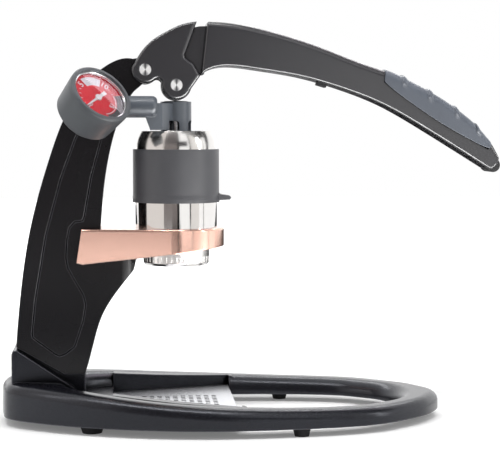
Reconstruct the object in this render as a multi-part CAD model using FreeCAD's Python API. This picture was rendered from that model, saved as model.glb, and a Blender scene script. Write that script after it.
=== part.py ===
import FreeCAD, Part
import math
import os

from FreeCAD import Placement, Rotation, Vector

# Handheld lever espresso maker, in millimetres.
# +X runs from the post to the tip of the lever, +Y away from the gauge side, +Z up.
# The origin is under the middle of the machine, on the surface that the feet rest on.

# Base casting: an egg-shaped ring that carries the post and the drip tray.
base_rear_x = -155.5
base_front_x = 117.2
base_half_width = 71.0
foot_height = 5.0
ring_width_share = 0.2817
ring_nose_width = 26.5
ring_rear_top = 26.0
ring_middle_top = 20.3
ring_front_top = 16.0
ring_outer_round = 6.5
ring_inner_round = 9.0
ring_hollow_rear_x = -116.0
deck_top = 14.0
foot_socket_depth = 1.5
foot_recess_depth = 1.8
foot_screw_radius = 1.6
foot_screw_length = 6.0

# Pedestal of the base under the post.
pedestal_half_width = 18.0
pedestal_rear_x = -149.0
platform_half_width = 12.5
pedestal_slope_drop = 17.0

# Post: a cast column that leans forward to the lever pivot.
post_half_width = 14.0
neck_half_width = 9.0
post_foot_x = -126.0
post_foot_z = 30.6
pivot_ear_radius = 8.2
panel_groove_width = 0.9
panel_groove_depth = 0.7
post_screw_x = (-133.0, -114.0)
post_screw_radius = 2.5
post_screw_head_radius = 4.5
post_screw_head_z = 12.0
post_screw_head_height = 4.0
post_screw_engagement = 10.0

# Brew head: everything on the vertical brew axis.
brew_axis_x = -48.0
bracket_top_z = 119.8
bracket_ring_radius = 29.6
bracket_arm_half_width = 21.0
bracket_rear_thickness = 21.8
bracket_front_thickness = 11.2
bracket_seat_depth = 2.6
bracket_dowel_x = -101.5
bracket_dowel_radius = 2.0
bracket_edge_round = 1.2
cylinder_radius = 25.25
cylinder_bore_radius = 20.0
cylinder_length = 62.0
cylinder_rim_radius = 22.2
cylinder_shoulder_height = 11.0
sleeve_thickness = 1.4
sleeve_bottom_above_seat = 18.2
sleeve_height = 32.6
sleeve_tab_length = 7.2
portafilter_radius = 20.4
portafilter_bottom_z = 96.6
portafilter_wall = 2.4
portafilter_notches = 40
screen_thickness = 1.2
basket_wall = 0.6
base_seal_height = 1.6
spout_hole_radius = 2.6
seat_clearance = 0.2

# Plunger: stem tube, rod, piston and the arm that carries the gauge.
stem_radius = 9.6
stem_wall = 2.0
stem_rise_above_rim = 18.0
stem_window_angle = 50.0
stem_window_top_below_rim = 11.8
cap_proud = 0.4
cap_height = 6.5
rod_radius = 5.0
rod_spigot_radius = 3.5
rod_spigot_length = 5.0
piston_clearance = 0.35
piston_height = 9.0
piston_floor_gap = 6.0
pipe_radius = 6.5
pipe_offset_y = -21.0
pipe_drop_below_rim = 3.5
pipe_end_before_axis = 12.0

# Pressure gauge.
gauge_radius = 20.0
gauge_depth = 23.0
gauge_lip = 2.7
gauge_floor = 6.0
dial_depth = 5.0
dial_thickness = 0.6
lens_thickness = 1.2
lens_depth = 2.2
bezel_proud = 0.8
gauge_face_center = Vector(-92.9, -46.0, 201.3)
gauge_face_direction = Vector(0.50, -0.63, 0.595)
needle_length = 13.2
needle_zero_angle = -152.0

# Lever linkage.
roller_radius = 9.2
roller_gap = 0.3
pivot_back_from_roller = 19.0
pivot_above_roller = 9.3
cheek_inner_half = 9.4
cheek_outer_half = 13.6
pivot_pin_radius = 2.6
bush_wall = 1.2
roller_pin_radius = 2.9
pin_head_radius = 3.6
pin_head_depth = 1.4
cheek_edge_round = 2.0
running_clearance = 0.06
side_clearance = 0.3

# Lever handle and its rubber grip.
handle_half_width = 12.4
tongue_half_width = 9.2
grip_half_width = 13.2
grip_core_half_width = 10.4
grip_skin = 3.6
handle_start = 34.2
handle_reach = 187.2
handle_edge_round = 3.6
handle_low_edge_round = 1.3
handle_dowel_radius = 1.8
handle_dowel_reach = 11.6
end_plug_radius = 4.4
end_plug_half_width = 8.5
stop_pad_length = 6.0
stop_pad_width = 9.0
stop_pad_thickness = 3.6
stop_pad_proud = 1.5
stop_pad_slope = 16.4

# Drip tray.
tray_rear_x = -87.0
tray_front_x = -12.0
tray_rear_half = 37.0
tray_front_half = 57.5
tray_clearance = 0.6
pocket_wall_end_x = -6.6
pocket_wall_round = 4.6
plate_thickness = 1.0
pan_wall = 1.2
pan_height = 2.6
base_floor_thickness = 2.2
slot_columns = 11
slot_rows = 7
slot_pitch_x = 4.9
slot_pitch_y = 5.2
slot_length = 2.8
slot_width = 2.4
slot_first_x = -73.0

# Sizes, heights and places that follow from the sizes above.
ring_width = ring_width_share * base_half_width
rim_z = bracket_top_z - bracket_seat_depth + cylinder_length
stem_rim_z = rim_z + stem_rise_above_rim
cap_top_z = stem_rim_z + cap_proud
roller_z = cap_top_z + roller_gap + roller_radius
pivot_x = brew_axis_x - pivot_back_from_roller
pivot_z = roller_z + pivot_above_roller
cylinder_seat_z = bracket_top_z - bracket_seat_depth
post_height = pivot_z - post_foot_z
pan_bottom_z = foot_height + base_floor_thickness
plate_bottom_z = pan_bottom_z + pan_height
plate_top_z = plate_bottom_z + plate_thickness


def save(name, shape):
    shape.exportStep("parts/" + name + ".step")


def side_face(points, y=0.0, smooth=None):
    """A face in an X-Z plane; runs of the outline named in smooth are curves."""
    place = [Vector(x, y, z) for x, z in points]
    place.append(place[0])
    smooth = smooth or []
    edges = []
    index = 0
    while index < len(place) - 1:
        run = [pair for pair in smooth if pair[0] == index]
        if run:
            last = run[0][1]
            curve = Part.BSplineCurve()
            curve.interpolate(place[index:last + 1])
            edges.append(curve.toShape())
            index = last
        else:
            edges.append(Part.makeLine(place[index], place[index + 1]))
            index += 1
    return Part.Face(Part.Wire(edges))


def plate(points, y_low, y_high, smooth=None):
    """A plate between two Y planes with the given outline in X and Z."""
    return side_face(points, y_low, smooth).extrude(Vector(0, y_high - y_low, 0))


def plan_prism(points, z_low, z_high):
    """A prism between two heights with the given outline in X and Y."""
    place = [Vector(x, y, z_low) for x, y in points]
    place.append(place[0])
    return Part.Face(Part.makePolygon(place)).extrude(Vector(0, 0, z_high - z_low))


def upright(radius, x, y, z_low, z_high):
    return Part.makeCylinder(radius, z_high - z_low, Vector(x, y, z_low))


def crosswise(radius, x, z, y_low, y_high):
    """A cylinder along Y."""
    return Part.makeCylinder(radius, y_high - y_low, Vector(x, y_low, z), Vector(0, 1, 0))


def turned(profile, x=brew_axis_x, y=0.0):
    """A solid turned about a vertical axis; the profile is radius and height."""
    place = [Vector(x + r, y, z) for r, z in profile]
    place.append(place[0])
    face = Part.Face(Part.makePolygon(place))
    return face.revolve(Vector(x, y, 0), Vector(0, 0, 1), 360)


def joined(shapes):
    result = shapes[0]
    for shape in shapes[1:]:
        result = result.fuse(shape)
    return result.removeSplitter()


def rounded(shape, radius, choose):
    """Round the edges for which choose(edge) is true."""
    edges = [edge for edge in shape.Edges if choose(edge)]
    return shape.makeFillet(radius, edges)


# Base casting

outline_fractions = [
    (0.0, 0.0), (0.012, 0.27), (0.069, 0.49), (0.223, 0.803), (0.436, 0.997),
    (0.646, 0.975), (0.783, 0.88), (0.831, 0.81), (0.886, 0.669), (0.926, 0.535),
    (0.956, 0.408), (0.978, 0.268),
]


def base_outline():
    """The egg outline of the base as one closed curve on the ground plane."""
    length = base_front_x - base_rear_x
    half = [(base_rear_x + u * length, v * base_half_width) for u, v in outline_fractions]
    far_side = [Vector(x, y, 0) for x, y in half]
    near_side = [Vector(x, -y, 0) for x, y in reversed(half[1:])]
    curve = Part.BSplineCurve()
    curve.interpolate(far_side + [Vector(base_front_x, 0, 0)] + near_side, PeriodicFlag=True)
    return Part.Wire([curve.toShape()])


def inner_outline():
    """The ring's inner edge: the outline set in by the ring's width, closed behind the tray."""
    curve = base_outline().Edges[0].Curve
    length = base_front_x - base_rear_x
    half = [(ring_hollow_rear_x, 0.0), (ring_hollow_rear_x + 4.0, 20.0)]
    for u, v in outline_fractions[3:-2]:
        point = Vector(base_rear_x + u * length, v * base_half_width, 0)
        tangent = curve.tangent(curve.parameter(point))[0]
        inward = Vector(0, 0, 1).cross(tangent)
        if inward.y > 0:
            inward = -inward
        inset = point + inward * ring_width
        half.append((inset.x, inset.y))
    far_side = [Vector(x, y, 0) for x, y in half]
    near_side = [Vector(x, -y, 0) for x, y in reversed(half[1:])]
    tip = Vector(base_front_x - ring_nose_width, 0, 0)
    inner = Part.BSplineCurve()
    inner.interpolate(far_side + [tip] + near_side, PeriodicFlag=True)
    return Part.Wire([inner.toShape()])


def crest_block():
    """Everything under the falling crest line of the ring."""
    margin = 10.0
    crest = [
        (base_rear_x - margin, ring_rear_top), (-103.0, ring_rear_top - 2.0),
        (-64.0, ring_middle_top), (-17.0, ring_front_top + 1.3), (22.0, ring_front_top - 0.1),
        (base_front_x + margin, ring_front_top),
    ]
    corners = [(base_front_x + margin, foot_height), (base_rear_x - margin, foot_height)]
    reach = base_half_width + margin
    return plate(crest + corners, -reach, reach, [(0, 5)])


def pedestal():
    """The wedge under the post and the raised platform that the post stands on."""
    rear_z = post_foot_z + pedestal_slope_drop
    wedge = [
        (pedestal_rear_x, deck_top), (pedestal_rear_x, rear_z - 4.0),
        (pedestal_rear_x + 0.8, rear_z - 1.8), (pedestal_rear_x + 3.0, rear_z - 1.4),
        (-112.3, 23.4), (-104.0, deck_top),
    ]
    platform = [
        (pedestal_rear_x + 3.0, deck_top), (pedestal_rear_x + 3.0, rear_z - 0.5),
        post_bottom()[0], post_bottom()[1], post_bottom()[2],
        (post_bottom()[2][0], deck_top),
    ]
    body = plate(wedge, -pedestal_half_width, pedestal_half_width)
    stand = plate(platform, -platform_half_width, platform_half_width)
    return joined([body, stand])


def post_bottom():
    """Rear, middle and front corners of the post's sole."""
    return [spine_point(0.092, -25.7), spine_point(0.0, 9.3), spine_point(0.0, 21.4)]


def spine_point(fraction, offset):
    """A point at a fraction of the post's height, offset from its leaning spine."""
    spine_x = post_foot_x + fraction * (pivot_x - post_foot_x)
    return (spine_x + offset, post_foot_z + fraction * post_height)


def tray_outline(clearance):
    """Plan of the drip tray, wider towards the cup side."""
    return [
        (tray_rear_x - clearance, -tray_rear_half - clearance),
        (tray_front_x + clearance, -tray_front_half - clearance),
        (tray_front_x + clearance, tray_front_half + clearance),
        (tray_rear_x - clearance, tray_rear_half + clearance),
    ]


foot_places = [(-100.0, -42.0, 7.5), (-100.0, 42.0, 7.5), (23.2, -62.5, 5.5), (23.2, 62.5, 5.5)]


def rounded_ring():
    """The ring alone, with its falling crest and its two rounded top edges."""
    high = ring_rear_top + 20.0
    blank = Part.Face(base_outline()).extrude(Vector(0, 0, high)).common(crest_block())
    ring = blank.cut(Part.Face(inner_outline()).extrude(Vector(0, 0, high)))
    above_sole = foot_height + 3.0
    half_inside = base_half_width - 0.5 * ring_width
    ring = rounded(ring, ring_outer_round, lambda edge: edge.BoundBox.ZMin > above_sole
                   and edge.BoundBox.YMax > half_inside)
    return rounded(ring, ring_inner_round, lambda edge: edge.BoundBox.ZMin > above_sole
                   and edge.BoundBox.XMax < base_front_x - 0.5 * ring_width
                   and edge.BoundBox.YMax < half_inside)


def pocket_walls():
    """Walls of full height that carry the tray's pocket through the ring's rounded inner edge."""
    rear_x = tray_rear_x - tray_clearance
    round_x = pocket_wall_end_x - pocket_wall_round
    top = ring_front_top + 1.2
    low = top - pocket_wall_round
    side = plate([
        (rear_x, foot_height), (pocket_wall_end_x, foot_height), (pocket_wall_end_x, low),
        (pocket_wall_end_x - 0.3 * pocket_wall_round, top - 0.3 * pocket_wall_round),
        (round_x, top), (rear_x, top + 30.0),
    ], -base_half_width, base_half_width, [(2, 4)])
    middle_x = 0.5 * (tray_rear_x + tray_front_x)
    middle_half = 0.5 * (tray_rear_half + tray_front_half)
    walls = []
    for sign in (-1, 1):
        walls.append(plan_prism([
            (rear_x, sign * (tray_rear_half - 2.0)), (rear_x, sign * (tray_rear_half + 8.6)),
            (middle_x, sign * (middle_half + 9.0)),
            (pocket_wall_end_x, sign * (tray_front_half + 5.0)),
            (pocket_wall_end_x, sign * (tray_front_half - 2.0)),
        ], foot_height, ring_rear_top + 20.0))
    return walls[0].fuse(walls[1]).common(crest_block()).common(side)


def make_base():
    inside = Part.Face(inner_outline()).extrude(Vector(0, 0, deck_top))
    behind_tray = Part.makeBox(200, 300, deck_top - foot_height,
                               Vector(tray_rear_x - tray_clearance - 200, -150, foot_height))
    under_tray = Part.makeBox(tray_front_x - tray_rear_x + 2 * tray_clearance + 1.0, 300,
                              base_floor_thickness,
                              Vector(tray_rear_x - tray_clearance - 1.0, -150, foot_height))
    body = rounded_ring().fuse(pocket_walls())
    body = body.fuse(inside.common(behind_tray)).fuse(inside.common(under_tray))
    body = body.fuse(pedestal())
    body = body.cut(plan_prism(tray_outline(tray_clearance), pan_bottom_z, 60.0))
    for x, y, radius in foot_places:
        body = body.cut(upright(radius, x, y, 0, foot_height + foot_socket_depth))
        body = body.cut(upright(foot_screw_radius, x, y, 0, foot_height + foot_socket_depth
                                + foot_screw_length))
    for x in post_screw_x:
        body = body.cut(upright(post_screw_radius, x, 0, 0, 60.0))
        body = body.cut(upright(post_screw_head_radius, x, 0, 0, post_screw_head_z))
    save("base_ring", body.removeSplitter())


def make_feet():
    feet = []
    screws = []
    for x, y, radius in foot_places:
        cone = Part.makeCone(radius * 0.78, radius, foot_height, Vector(x, y, 0))
        plug = upright(radius, x, y, foot_height, foot_height + foot_socket_depth)
        recess = upright(radius * 0.5, x, y, 0, foot_recess_depth)
        hole = upright(foot_screw_radius, x, y, 0, foot_height + foot_socket_depth)
        feet.append(cone.fuse(plug).cut(recess).cut(hole))
        shank = upright(foot_screw_radius, x, y, foot_recess_depth,
                        foot_height + foot_socket_depth + foot_screw_length)
        head = upright(radius * 0.5 - 0.2, x, y, 0.6, foot_recess_depth)
        screws.append(shank.fuse(head).removeSplitter())
    save("base_feet", Part.makeCompound(feet))
    save("foot_screws", Part.makeCompound(screws))


# Post

post_rear_edge = [
    (0.092, -25.7), (0.247, -32.3), (0.477, -39.4), (0.718, -41.2), (0.88, -38.5),
    (0.975, -31.0), (1.021, -22.5), (1.037, -15.5), (1.036, -9.6),
]
post_front_edge = [
    (0.95, -0.5), (0.917, -3.8), (0.838, -6.5), (0.705, -5.4), (0.59, -1.8), (0.482, 2.9),
]
post_gusset_edge = [(0.342, 31.4), (0.277, 25.4), (0.191, 20.6), (0.118, 20.5), (0.0, 21.4)]
neck_start_fraction = 0.84

panel_outline = [
    (0.86, -24.0), (0.78, -29.7), (0.646, -31.0), (0.46, -29.4), (0.247, -23.5), (0.135, -19.0),
    (0.12, -17.5), (0.066, -1.0), (0.058, 2.5), (0.066, 6.0), (0.09, 10.3), (0.174, 10.5),
    (0.229, 9.0), (0.262, 5.6), (0.312, -2.7), (0.351, -8.9), (0.384, -12.0), (0.443, -14.8),
    (0.483, -15.6), (0.5, -13.6), (0.504, -8.9), (0.522, -8.8), (0.652, -12.1), (0.76, -12.9),
    (0.84, -13.4),
]


def bracket_bottom_at(x):
    """Height of the bracket's sloping underside."""
    rear_x = bracket_end()[1][0]
    front_x = brew_axis_x + bracket_ring_radius
    rear_z = bracket_top_z - bracket_rear_thickness
    front_z = bracket_top_z - bracket_front_thickness
    return rear_z + (front_z - rear_z) * (x - rear_x) / (front_x - rear_x)


def bracket_end():
    """Upper and lower corner of the arms' rear ends, on the side faces of the post."""
    return [spine_point(0.48, -8.3), spine_point(0.37, -5.0)]


def sole_z(x):
    """Height of the post's sole: sloping behind its middle corner and level before it."""
    rear, middle, front = post_bottom()
    if x > middle[0]:
        return middle[1]
    return middle[1] + (rear[1] - middle[1]) * (middle[0] - x) / (middle[0] - rear[0])


def post_profile():
    """Outline of the post up to the root of the pivot tongue."""
    rear = [spine_point(f, d) for f, d in post_rear_edge]
    front = [spine_point(f, d) for f, d in post_front_edge]
    shelf_x = front[-1][0]
    gusset = [spine_point(f, d) for f, d in post_gusset_edge]
    shelf = [(shelf_x, bracket_bottom_at(shelf_x)),
             (gusset[0][0] + 2.0, bracket_bottom_at(gusset[0][0] + 2.0))]
    sole = [post_bottom()[1]]
    points = rear + front + shelf + gusset + sole
    rear_end = len(rear) - 1
    front_start = len(rear)
    front_end = front_start + len(front) - 1
    gusset_start = front_end + 3
    gusset_end = gusset_start + len(gusset) - 1
    smooth = [(0, rear_end), (front_start, front_end), (gusset_start, gusset_end)]
    return points, smooth


def pivot_tongue():
    """Round ear of the post between the two cheeks of the lever."""
    ear = crosswise(pivot_ear_radius, pivot_x, pivot_z, -neck_half_width, neck_half_width)
    root_low = spine_point(0.93, -2.8)
    root_high = spine_point(1.036, -9.6)
    link = plate([root_low, (pivot_x - 1.0, pivot_z - pivot_ear_radius + 0.2),
                  (pivot_x, pivot_z), (pivot_x - 3.0, pivot_z + pivot_ear_radius - 0.8),
                  root_high, (root_high[0] - 8.0, pivot_z)],
                 -neck_half_width, neck_half_width)
    return ear.fuse(link)


def make_post():
    points, smooth = post_profile()
    column = plate(points, -post_half_width, post_half_width, smooth)
    neck_z = post_foot_z + neck_start_fraction * post_height
    for side in (-1, 1):
        taper = [
            (side * neck_half_width, pivot_z + 30), (side * neck_half_width, neck_z + 14.0),
            (side * post_half_width, neck_z), (side * 40.0, neck_z), (side * 40.0, pivot_z + 30),
        ]
        place = [Vector(-200, y, z) for y, z in taper]
        place.append(place[0])
        shaving = Part.Face(Part.makePolygon(place)).extrude(Vector(200, 0, 0))
        column = column.cut(shaving)
    nose = gusset_nose()
    column = column.cut(nose)
    body = joined([column, pivot_tongue()])
    outer = side_face([spine_point(f, d) for f, d in panel_outline])
    inner = outer.OuterWire.makeOffset2D(-panel_groove_width)
    groove = outer.cut(Part.Face(inner))
    for side in (-1, 1):
        track = groove.copy()
        track.translate(Vector(0, side * (post_half_width - panel_groove_depth), 0))
        body = body.cut(track.extrude(Vector(0, side * 5.0, 0)))
    body = body.cut(crosswise(bush_radius(), pivot_x, pivot_z, -30, 30))
    for x in post_screw_x:
        body = body.cut(upright(post_screw_radius, x, 0, 0, sole_z(x) + post_screw_engagement))
    body = body.cut(crosswise(bracket_dowel_radius, bracket_dowel_x, bracket_dowel_z(), -30, 30))
    save("post", body.removeSplitter())


def gusset_nose():
    """Two corner cuts that round the gusset's front in plan."""
    low = post_foot_z + 4.0
    reach = bracket_bottom_at(-72.0) + 2.0
    nose_x = spine_point(0.342, 31.4)[0]
    corner = 9.0
    cuts = []
    for side in (-1, 1):
        blank = Part.makeBox(corner, corner, reach - low,
                             Vector(nose_x - corner + 1.5, min(side * post_half_width,
                                                               side * (post_half_width - corner)),
                                    low))
        keep = upright(corner, nose_x - corner + 1.5, side * (post_half_width - corner), low, reach)
        cuts.append(blank.cut(keep))
    return cuts[0].fuse(cuts[1])


def bush_radius():
    return pivot_pin_radius + bush_wall


def make_post_screws():
    screws = []
    for x in post_screw_x:
        shank = upright(post_screw_radius, x, 0, post_screw_head_z,
                        sole_z(x) + post_screw_engagement)
        head_low = post_screw_head_z - post_screw_head_height
        head = upright(post_screw_head_radius, x, 0, head_low, post_screw_head_z)
        socket = upright(2.0, x, 0, head_low, head_low + 2.0)
        screws.append(shank.fuse(head).cut(socket).removeSplitter())
    save("post_screws", Part.makeCompound(screws))


# Brew bracket

def make_bracket():
    """A ring under the cylinder with two arms that straddle the post."""
    top_corner, low_corner = bracket_end()
    rear_x = low_corner[0]
    top = bracket_top_z
    arm = bracket_arm_half_width
    radius = bracket_ring_radius
    lean = math.asin((radius - arm) / (brew_axis_x - rear_x))
    touch_x = brew_axis_x - radius * math.sin(lean)
    touch_y = radius * math.cos(lean)
    low = top - 2 * bracket_rear_thickness
    plan = [(rear_x, -arm), (touch_x, -touch_y), (touch_x, touch_y), (rear_x, arm)]
    blank = plan_prism(plan, low, top).fuse(upright(radius, brew_axis_x, 0, low, top))
    front_x = brew_axis_x + radius
    side = [
        (top_corner[0], top), low_corner,
        (rear_x + 3.7, bracket_bottom_at(rear_x + 3.7)), (front_x, bracket_bottom_at(front_x)),
        (front_x, top),
    ]
    body = blank.common(plate(side, -radius, radius))
    points, smooth = post_profile()
    body = body.cut(plate(points, -post_half_width, post_half_width, smooth))
    seat_radius = cylinder_radius + seat_clearance
    body = body.cut(upright(seat_radius, brew_axis_x, 0, cylinder_seat_z, top + 1.0))
    body = body.cut(upright(portafilter_radius + 1.6, brew_axis_x, 0, low, top))
    body = rounded(body, bracket_edge_round, lambda edge: edge.BoundBox.ZMin > top - 0.01
                   and outside_seat(edge))
    body = body.cut(crosswise(bracket_dowel_radius, bracket_dowel_x, bracket_dowel_z(),
                              -bracket_dowel_reach(), bracket_dowel_reach()))
    save("brew_bracket", body.removeSplitter())


def outside_seat(edge):
    """True for the bracket's outer top edges, away from the seat and the post."""
    middle = edge.valueAt(0.5 * (edge.FirstParameter + edge.LastParameter))
    from_axis = math.hypot(middle.x - brew_axis_x, middle.y)
    return from_axis > cylinder_radius + 2.0 and abs(middle.y) > post_half_width + 2.0 or (
        middle.x > brew_axis_x + cylinder_radius + 2.0)


def bracket_dowel_z():
    return bracket_top_z - 0.5 * bracket_rear_thickness


def bracket_dowel_reach():
    return bracket_arm_half_width - 3.0


def make_bracket_dowel():
    reach = bracket_dowel_reach()
    save("bracket_dowel", crosswise(bracket_dowel_radius, bracket_dowel_x, bracket_dowel_z(),
                                    -reach, reach))


# Brew cylinder and what screws into it

def make_cylinder():
    seat = cylinder_seat_z
    rim = rim_z
    shoulder = rim - cylinder_shoulder_height
    outer = cylinder_radius
    bore = cylinder_bore_radius
    x = brew_axis_x
    start = Vector(x + outer, 0, shoulder)
    middle = Vector(x + outer - 0.28 * (outer - cylinder_rim_radius), 0,
                    shoulder + 0.55 * cylinder_shoulder_height)
    end = Vector(x + cylinder_rim_radius, 0, rim)
    edges = [
        Part.makeLine(Vector(x + bore, 0, seat), Vector(x + outer, 0, seat)),
        Part.makeLine(Vector(x + outer, 0, seat), start),
        Part.Arc(start, middle, end).toShape(),
        Part.makeLine(end, Vector(x + bore, 0, rim)),
        Part.makeLine(Vector(x + bore, 0, rim), Vector(x + bore, 0, seat)),
    ]
    body = Part.Face(Part.Wire(edges)).revolve(Vector(x, 0, 0), Vector(0, 0, 1), 360)
    save("brew_cylinder", body)


def make_sleeve():
    low = cylinder_seat_z + sleeve_bottom_above_seat
    high = low + sleeve_height
    outer = cylinder_radius + sleeve_thickness
    band = turned([(cylinder_radius, low), (outer + 0.3, low), (outer + 0.3, low + 2.0),
                   (outer, low + 5.0), (outer, high), (cylinder_radius, high)])
    tab_start = outer - 0.8
    tab = plate([(tab_start, low + 1.0), (tab_start + sleeve_tab_length + 0.2, low + 1.4),
                 (tab_start + sleeve_tab_length + 0.8, low + 2.6),
                 (tab_start + sleeve_tab_length, low + 3.8), (tab_start + 2.0, low + 4.6),
                 (tab_start, low + 6.0)], -6.0, 6.0)
    tab.translate(Vector(brew_axis_x, 0, 0))
    tab = tab.cut(upright(cylinder_radius, brew_axis_x, 0, 0, 400))
    save("cylinder_sleeve", band.fuse(tab).removeSplitter())


def make_portafilter():
    """Base cup with the basket, the screen over it and the seal between."""
    seat = cylinder_seat_z
    low = portafilter_bottom_z
    outer = portafilter_radius
    inner = outer - portafilter_wall
    flange = cylinder_radius - 3.4
    cup = turned([
        (spout_hole_radius + 2.0, low), (outer - 1.2, low), (outer, low + 1.6),
        (outer, seat - 6.0), (flange, seat - 5.0), (flange, seat - base_seal_height),
        (inner, seat - base_seal_height), (inner, low + 2.4), (spout_hole_radius + 2.0, low + 2.4),
    ])
    notch_radius = 0.55
    notches = []
    for number in range(portafilter_notches):
        angle = 2 * math.pi * number / portafilter_notches
        x = brew_axis_x + (outer + 0.15) * math.cos(angle)
        y = (outer + 0.15) * math.sin(angle)
        notches.append(upright(notch_radius, x, y, low + 2.2, low + 5.2))
    cup = cup.cut(Part.makeCompound(notches))
    save("portafilter", cup)
    seal = turned([(cylinder_bore_radius - 1.4, seat - base_seal_height), (flange, seat
                   - base_seal_height), (flange, seat), (cylinder_bore_radius - 1.4, seat)])
    save("base_seal", seal)
    shelf = low + 6.4
    basket_radius = inner - 0.05
    basket = turned([
        (0.0, shelf), (basket_radius, shelf), (basket_radius, seat - base_seal_height),
        (basket_radius - basket_wall, seat - base_seal_height),
        (basket_radius - basket_wall, shelf + basket_wall), (0.0, shelf + basket_wall),
    ])
    holes = []
    for ring, count in ((3.5, 6), (7.0, 12), (10.5, 18), (14.0, 24)):
        for number in range(count):
            angle = 2 * math.pi * number / count
            holes.append(upright(0.45, brew_axis_x + ring * math.cos(angle),
                                 ring * math.sin(angle), shelf - 1, shelf + 2))
    save("filter_basket", basket.cut(Part.makeCompound(holes)))
    spout = turned([
        (spout_hole_radius, low), (spout_hole_radius + 2.0, low),
        (spout_hole_radius + 2.0, low + 2.4), (inner - 0.05, low + 2.4),
        (inner - 0.05, low + 3.4), (spout_hole_radius, low + 3.0),
    ])
    save("spout_disc", spout)
    support = turned([
        (inner - 1.2, low + 3.4), (inner - 0.05, low + 3.4), (inner - 0.05, shelf),
        (inner - 1.2, shelf),
    ])
    save("basket_support", support)
    screen = turned([
        (0.0, seat), (cylinder_bore_radius - 0.05, seat),
        (cylinder_bore_radius - 0.05, seat + screen_thickness), (0.0, seat + screen_thickness),
    ])
    holes = []
    for ring, count in ((3.0, 6), (6.0, 12), (9.0, 16), (12.0, 22), (15.0, 28)):
        for number in range(count):
            angle = 2 * math.pi * number / count
            holes.append(upright(0.6, brew_axis_x + ring * math.cos(angle),
                                 ring * math.sin(angle), seat - 1, seat + 3))
    save("dispersion_screen", screen.cut(Part.makeCompound(holes)))


# Plunger

def piston_low():
    return cylinder_seat_z + screen_thickness + piston_floor_gap


def make_plunger():
    x = brew_axis_x
    low = piston_low()
    high = low + piston_height
    outer = cylinder_bore_radius - piston_clearance
    groove = 2.0
    groove_low = low + 2.4
    groove_high = groove_low + 2.6
    piston = turned([
        (0.0, low), (outer, low), (outer, groove_low), (outer - groove, groove_low),
        (outer - groove, groove_high), (outer, groove_high), (outer, high), (0.0, high),
    ])
    spigot = upright(rod_spigot_radius, x, 0, high - rod_spigot_length, high)
    save("piston", piston.cut(spigot))
    seal_outer = cylinder_bore_radius - 0.12
    seal = turned([
        (outer - groove, groove_low), (seal_outer - 0.3, groove_low), (seal_outer, groove_low + 0.5),
        (seal_outer, groove_high - 0.5), (seal_outer - 0.3, groove_high),
        (outer - groove, groove_high),
    ])
    save("piston_seal", seal)
    tube_low = high
    tube_inner = stem_radius - stem_wall
    cap_low = cap_top_z - cap_height
    rod = upright(rod_radius, x, 0, high, cap_low)
    rod = rod.fuse(spigot)
    rod = rod.fuse(upright(rod_spigot_radius, x, 0, cap_low, cap_low + 3.0))
    save("plunger_rod", rod.removeSplitter())
    cap = turned([
        (0.0, cap_low + 3.0), (rod_spigot_radius, cap_low + 3.0), (rod_spigot_radius, cap_low),
        (tube_inner, cap_low), (tube_inner, cap_top_z - 0.6), (tube_inner - 0.6, cap_top_z),
        (0.0, cap_top_z),
    ])
    save("plunger_cap", cap)
    make_stem_housing(tube_low, tube_inner)


def window_cut(angle):
    """One round-topped window through the stem tube's wall."""
    half = math.radians(0.5 * stem_window_angle)
    half_width = stem_radius * math.sin(half)
    top = stem_rim_z - stem_window_top_below_rim
    low = rim_z - 9.0
    corner = 2.2
    box = Part.makeBox(stem_radius + 2.0, 2 * half_width, top - low, Vector(3.0, -half_width, low))
    edges = [
        edge for edge in box.Edges
        if edge.BoundBox.XLength > 2.0 and edge.BoundBox.ZMin > low + 1.0
    ]
    box = box.makeFillet(corner, edges)
    box = box.cut(upright(stem_radius - stem_wall - 0.2, 0, 0, low - 1, top + 1))
    box.rotate(Vector(0, 0, 0), Vector(0, 0, 1), angle)
    box.translate(Vector(brew_axis_x, 0, 0))
    return box


def make_stem_housing(tube_low, tube_inner):
    """Stem tube with its four windows, the web and the arm to the gauge."""
    x = brew_axis_x
    rim = stem_rim_z
    tube = upright(stem_radius, x, 0, tube_low, rim)
    pipe_z = rim - pipe_drop_below_rim
    pipe_end = x - pipe_end_before_axis
    pipe_start = gauge_face_center.x + 1.0
    pipe = Part.makeCylinder(pipe_radius, pipe_end - pipe_start,
                             Vector(pipe_start, pipe_offset_y, pipe_z), Vector(1, 0, 0))
    pipe = rounded(pipe, 3.0, lambda edge: edge.BoundBox.XMin > pipe_end - 0.1)
    lobe_clear_x = pivot_x + pivot_ear_radius + 1.9
    web_plan = [
        (x - 19.0, pipe_offset_y - 3.0), (x - 9.0, pipe_offset_y - 1.0),
        (x - 2.0, -stem_radius + 0.6), (x - 7.0, -3.0), (lobe_clear_x, -4.0),
        (lobe_clear_x, -cheek_outer_half - 0.8), (x - 19.0, -cheek_outer_half - 0.9),
    ]
    web = plan_prism(web_plan, rim_z + 0.5, rim - 1.2)
    lean = plate([
        (x - 19.5, pipe_z - pipe_radius + 1.5), (x - 19.0, rim), (x + 20.0, rim),
        (x + 20.0, rim_z), (x - 16.0, rim_z),
    ], -60, 20)
    web = web.common(lean)
    body = joined([tube, web, pipe])
    body = body.cut(upright(tube_inner, x, 0, tube_low - 1, rim + 1))
    for quarter in range(4):
        body = body.cut(window_cut(-105.0 + 90.0 * quarter))
    body = body.cut(gauge_blank(gauge_radius, gauge_depth + 4.0))
    solids = sorted(body.Solids, key=lambda solid: solid.Volume)
    save("stem_housing", solids[-1])


# Gauge

def gauge_placement():
    """Local +Z is the way the dial faces; local +X is level, to the dial's right."""
    normal = Vector(gauge_face_direction)
    normal.normalize()
    right = Vector(0, 0, 1).cross(normal)
    right.normalize()
    up = normal.cross(right)
    rotation = Rotation(right, up, normal, "ZXY")
    return Placement(gauge_face_center, rotation)


def placed(shape):
    result = shape.copy()
    result.Placement = gauge_placement().multiply(result.Placement)
    return result


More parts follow.
